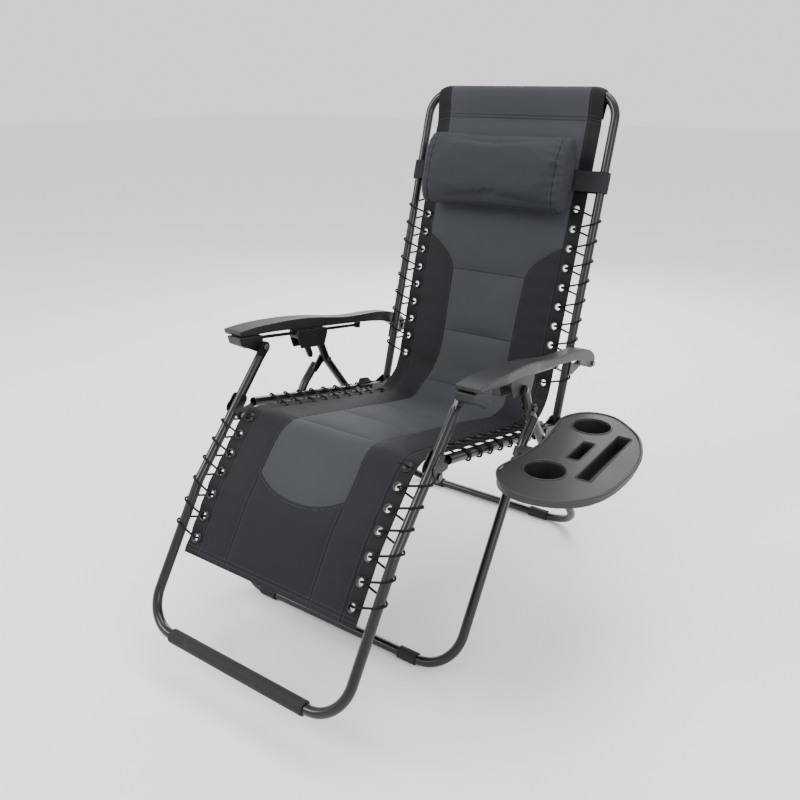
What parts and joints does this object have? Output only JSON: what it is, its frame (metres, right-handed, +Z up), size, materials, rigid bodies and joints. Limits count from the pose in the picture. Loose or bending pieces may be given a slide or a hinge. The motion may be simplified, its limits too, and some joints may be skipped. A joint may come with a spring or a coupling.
{
  "type": "zero gravity recliner",
  "caption": "Folding steel-tube reclining lounge chair with laced padded sling, armrests with a sliding recline lock, head pillow and a clip-on side tray.",
  "frame": {"origin": "on the floor, below the middle of the front leg's ground bar", "axes": "+Z up, -Y the way the sitter faces, +X the sitter's left, where the tray hangs"},
  "size_m": [0.8806, 1.126, 1.1403],
  "materials": {
    "frame_steel": "gloss black powder coat on steel tube",
    "plate_steel": "satin black painted steel plate",
    "bolt_steel": "dark zinc plated",
    "black_nylon": "moulded black nylon",
    "arm_plastic": "satin moulded dark grey plastic",
    "foot_rubber": "matte black rubber",
    "sling_cloth": "padded woven polyester in two greys",
    "pillow_cloth": "woven polyester, soft filled",
    "elastic_strap": "woven black elastic",
    "elastic_cord": "braided black elastic cord",
    "tray_plastic": "satin moulded dark grey plastic"
  },
  "bodies": {
    "rear_leg": {"rear_leg_frame": "frame_steel", "rear_leg_caps": "black_nylon", "rear_feet": "foot_rubber", "scissor_bolts": "bolt_steel"},
    "front_leg": {"front_leg_frame": "frame_steel", "front_feet": "foot_rubber"},
    "side_tray": {"side_tray": "tray_plastic", "tray_clip": "tray_plastic"},
    "seat_pivots": {"seat_pivot_bolts": "bolt_steel", "seat_pivot_spacers": "black_nylon"},
    "seat": {"seat_rail_left": "frame_steel", "seat_rail_right": "frame_steel", "knee_tongues": "plate_steel", "hip_plates": "plate_steel", "seat_wings": "plate_steel", "sling_seat": "sling_cloth", "eyelets_seat": "black_nylon", "lacing_seat": "elastic_cord"},
    "hip_pivots": {"hip_bolts": "bolt_steel"},
    "back": {"back_frame": "frame_steel", "arm_brackets": "plate_steel", "sling_back": "sling_cloth", "eyelets_back": "black_nylon", "lacing_back": "elastic_cord"},
    "knee_pivots": {"knee_bolts": "bolt_steel"},
    "leg_rest": {"leg_rest_frame": "frame_steel", "leg_rest_sleeve": "foot_rubber", "knee_plates": "plate_steel", "sling_leg": "sling_cloth", "eyelets_leg": "black_nylon", "lacing_leg": "elastic_cord"},
    "arm_pivots": {"arm_back_bolts": "bolt_steel"},
    "armrests": {"armrest_left": "arm_plastic", "armrest_right": "arm_plastic", "arm_front_brackets": "arm_plastic", "arm_rods": "frame_steel", "arm_front_bolts": "bolt_steel"},
    "recline_lock": {"lock_sliders": "arm_plastic", "lever_pins": "bolt_steel"},
    "lever_left": {"lock_lever_left": "black_nylon"},
    "lever_right": {"lock_lever_right": "black_nylon"},
    "head_pillow": {"head_pillow": "pillow_cloth", "pillow_strap": "elastic_strap"}
  },
  "joints": [
    {"name": "fold", "type": "hinge", "parent": "rear_leg", "child": "seat_pivots", "pos_m": [0, 0.41498, 0.39163], "axis": [-1, 0, 0], "range_deg": [0, 13]},
    {"name": "front_leg_fold", "type": "hinge", "parent": "rear_leg", "child": "front_leg", "pos_m": [0, 0.33693, 0.49372], "axis": [-1, 0, 0], "range_deg": [-70.68, 0]},
    {"name": "tray_slide", "type": "slide", "parent": "front_leg", "child": "side_tray", "axis": [0, 0.5417, 0.8406], "range_m": [-0.08, 0]},
    {"name": "recline", "type": "hinge", "parent": "seat_pivots", "child": "seat", "pos_m": [0, 0.41498, 0.39163], "axis": [-1, 0, 0], "range_deg": [0, 22]},
    {"name": "back_fold", "type": "hinge", "parent": "seat", "child": "hip_pivots", "pos_m": [0, 0.564, 0.372], "axis": [-1, 0, 0], "range_deg": [-76.8, 0]},
    {"name": "back_recline", "type": "hinge", "parent": "hip_pivots", "child": "back", "pos_m": [0, 0.564, 0.372], "axis": [-1, 0, 0], "range_deg": [0, 30.9]},
    {"name": "leg_rest_fold", "type": "hinge", "parent": "seat", "child": "knee_pivots", "pos_m": [0, -0.005, 0.466], "axis": [-1, 0, 0], "range_deg": [-76.8, 0]},
    {"name": "leg_rest_rise", "type": "hinge", "parent": "knee_pivots", "child": "leg_rest", "pos_m": [0, -0.005, 0.466], "axis": [-1, 0, 0], "range_deg": [0, 30.9]},
    {"name": "arm_fold", "type": "hinge", "parent": "back", "child": "arm_pivots", "pos_m": [0, 0.6625, 0.502], "axis": [-1, 0, 0], "range_deg": [0, 76.8]},
    {"name": "arm_level", "type": "hinge", "parent": "arm_pivots", "child": "armrests", "pos_m": [0, 0.6625, 0.502], "axis": [-1, 0, 0], "range_deg": [-30.9, 0]},
    {"name": "lock_slide", "type": "slide", "parent": "armrests", "child": "recline_lock", "axis": [0, -0.9866, 0.163], "range_m": [0, 0.1067]},
    {"name": "lever_squeeze_left", "type": "hinge", "parent": "recline_lock", "child": "lever_left", "pos_m": [0, 0.27838, 0.55735], "axis": [1, 0, 0], "range_deg": [0, 20], "stiffness_Nm_per_rad": 0.4, "springref_deg": -20.05},
    {"name": "lever_squeeze_right", "type": "hinge", "parent": "recline_lock", "child": "lever_right", "pos_m": [0, 0.27838, 0.55735], "axis": [1, 0, 0], "range_deg": [0, 20], "stiffness_Nm_per_rad": 0.4, "springref_deg": -20.05},
    {"name": "pillow_slide", "type": "slide", "parent": "back", "child": "head_pillow", "axis": [0, 0.2874, 0.9578], "range_m": [-0.12, 0.06]}
  ],
  "couplings": [
    {"joint": "front_leg_fold", "follows": "fold", "ratio": -5.3077},
    {"joint": "back_fold", "follows": "fold", "ratio": -5.7692},
    {"joint": "leg_rest_fold", "follows": "fold", "ratio": -5.7692},
    {"joint": "arm_fold", "follows": "fold", "ratio": 5.7692},
    {"joint": "back_recline", "follows": "recline", "ratio": 1.3636},
    {"joint": "leg_rest_rise", "follows": "recline", "ratio": 1.3636},
    {"joint": "arm_level", "follows": "recline", "ratio": -1.3636},
    {"joint": "lock_slide", "follows": "recline", "m_per_rad": 0.27242}
  ]
}
